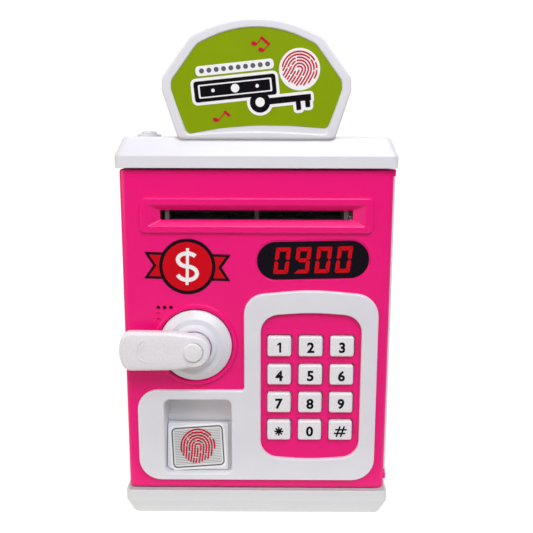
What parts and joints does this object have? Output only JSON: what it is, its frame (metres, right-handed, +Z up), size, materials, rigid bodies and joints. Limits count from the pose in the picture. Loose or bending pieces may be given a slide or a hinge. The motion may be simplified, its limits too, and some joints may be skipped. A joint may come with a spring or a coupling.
{
  "type": "toy safe coin bank",
  "caption": "Toy safe money box: hinged front door with keypad, finger pad, note slot and turn handle, in a ribbed case with lid, base and upright sign.",
  "frame": {"origin": "centre of the base cap on the surface that the bank stands on", "axes": "+Z up, the door faces -Y, +X to the right of a person facing the door"},
  "size_m": [0.1302, 0.1312, 0.2385],
  "materials": {
    "white_abs": "satin",
    "pink_abs": "gloss",
    "printed_label": "gloss print",
    "label_black": "gloss print",
    "label_red": "gloss print",
    "label_white": "gloss print",
    "rubber": "matt",
    "grey_rubber": "matt",
    "steel": "zinc plated",
    "grey_abs": "satin",
    "natural_nylon": "satin",
    "board": "solder mask",
    "dark_abs": "satin",
    "cell_wrap": "gloss film",
    "silicone": "matt"
  },
  "bodies": {
    "case": {"case_shell": "white_abs", "lid": "white_abs", "base": "white_abs", "rubber_feet": "grey_rubber", "case_screws": "steel", "sign_frame": "white_abs", "sign_face": "printed_label", "lid_switch_board": "board"},
    "lid_button": {"lid_button": "white_abs"},
    "door": {"door_panel": "pink_abs", "hinge_pins": "steel", "fascia": "white_abs", "display_label": "label_black", "badge_label": "label_red", "handle_rose": "white_abs", "inner_cover": "grey_abs", "battery_door": "grey_abs", "cells": "cell_wrap", "battery_contacts": "steel", "cover_screws": "steel", "speaker": "steel", "speaker_cone": "dark_abs", "keypad_membrane": "silicone", "keypad_board": "board", "main_board": "board", "finger_switch_board": "board", "feeder_frame": "grey_abs", "feed_motor": "steel", "lock_solenoid": "dark_abs"},
    "handle": {"lever": "white_abs", "lever_cap": "white_abs", "spindle": "steel", "lock_disc": "natural_nylon", "latch_cam": "natural_nylon", "cam_screw": "steel"},
    "lock_plunger": {"lock_plunger": "steel"},
    "power_switch": {"power_switch": "dark_abs"},
    "finger_pad": {"finger_pad": "white_abs", "finger_label": "label_white"},
    "feed_rollers": {"drive_shaft": "steel", "drive_rollers": "rubber", "drive_gear": "natural_nylon"},
    "feed_pinion": {"motor_pinion": "natural_nylon"},
    "pinch_rollers": {"pinch_shaft": "steel", "pinch_rollers": "rubber"},
    "key_1": {"key_1": "white_abs"},
    "key_2": {"key_2": "white_abs"},
    "key_3": {"key_3": "white_abs"},
    "key_4": {"key_4": "white_abs"},
    "key_5": {"key_5": "white_abs"},
    "key_6": {"key_6": "white_abs"},
    "key_7": {"key_7": "white_abs"},
    "key_8": {"key_8": "white_abs"},
    "key_9": {"key_9": "white_abs"},
    "key_star": {"key_star": "white_abs"},
    "key_0": {"key_0": "white_abs"},
    "key_hash": {"key_hash": "white_abs"}
  },
  "joints": [
    {"name": "door_hinge", "type": "hinge", "parent": "case", "child": "door", "pos_m": [0.0625, -0.0515, 0.09], "axis": [0, 0, 1], "range_deg": [0, 100]},
    {"name": "handle_turn", "type": "hinge", "parent": "door", "child": "handle", "pos_m": [-0.0293, -0.0575, 0.0881], "axis": [0, -1, 0], "range_deg": [0, 90]},
    {"name": "lock_slide", "type": "slide", "parent": "door", "child": "lock_plunger", "axis": [0, 0, 1], "range_m": [0, 0.0032]},
    {"name": "power_slide", "type": "slide", "parent": "door", "child": "power_switch", "axis": [1, 0, 0], "range_m": [0, 0.004]},
    {"name": "finger_press", "type": "slide", "parent": "door", "child": "finger_pad", "axis": [0, 1, 0], "range_m": [0, 0.0008], "stiffness_N_per_m": 900},
    {"name": "lid_button_press", "type": "slide", "parent": "case", "child": "lid_button", "axis": [0, 0, -1], "range_m": [0, 0.001], "stiffness_N_per_m": 700},
    {"name": "roller_spin", "type": "hinge", "parent": "door", "child": "feed_rollers", "pos_m": [0, -0.0445, 0.1453], "axis": [1, 0, 0], "continuous": true},
    {"name": "pinion_spin", "type": "hinge", "parent": "door", "child": "feed_pinion", "pos_m": [0.044, -0.0445, 0.1334], "axis": [1, 0, 0], "continuous": true},
    {"name": "pinch_spin", "type": "hinge", "parent": "door", "child": "pinch_rollers", "pos_m": [0, -0.0445, 0.1558], "axis": [1, 0, 0], "continuous": true},
    {"name": "key_1_press", "type": "slide", "parent": "door", "child": "key_1", "axis": [0, 1, 0], "range_m": [0, 0.0011], "stiffness_N_per_m": 600},
    {"name": "key_2_press", "type": "slide", "parent": "door", "child": "key_2", "axis": [0, 1, 0], "range_m": [0, 0.0011], "stiffness_N_per_m": 600},
    {"name": "key_3_press", "type": "slide", "parent": "door", "child": "key_3", "axis": [0, 1, 0], "range_m": [0, 0.0011], "stiffness_N_per_m": 600},
    {"name": "key_4_press", "type": "slide", "parent": "door", "child": "key_4", "axis": [0, 1, 0], "range_m": [0, 0.0011], "stiffness_N_per_m": 600},
    {"name": "key_5_press", "type": "slide", "parent": "door", "child": "key_5", "axis": [0, 1, 0], "range_m": [0, 0.0011], "stiffness_N_per_m": 600},
    {"name": "key_6_press", "type": "slide", "parent": "door", "child": "key_6", "axis": [0, 1, 0], "range_m": [0, 0.0011], "stiffness_N_per_m": 600},
    {"name": "key_7_press", "type": "slide", "parent": "door", "child": "key_7", "axis": [0, 1, 0], "range_m": [0, 0.0011], "stiffness_N_per_m": 600},
    {"name": "key_8_press", "type": "slide", "parent": "door", "child": "key_8", "axis": [0, 1, 0], "range_m": [0, 0.0011], "stiffness_N_per_m": 600},
    {"name": "key_9_press", "type": "slide", "parent": "door", "child": "key_9", "axis": [0, 1, 0], "range_m": [0, 0.0011], "stiffness_N_per_m": 600},
    {"name": "key_star_press", "type": "slide", "parent": "door", "child": "key_star", "axis": [0, 1, 0], "range_m": [0, 0.0011], "stiffness_N_per_m": 600},
    {"name": "key_0_press", "type": "slide", "parent": "door", "child": "key_0", "axis": [0, 1, 0], "range_m": [0, 0.0011], "stiffness_N_per_m": 600},
    {"name": "key_hash_press", "type": "slide", "parent": "door", "child": "key_hash", "axis": [0, 1, 0], "range_m": [0, 0.0011], "stiffness_N_per_m": 600}
  ],
  "couplings": [
    {"joint": "pinion_spin", "follows": "roller_spin", "ratio": -2.4}
  ]
}
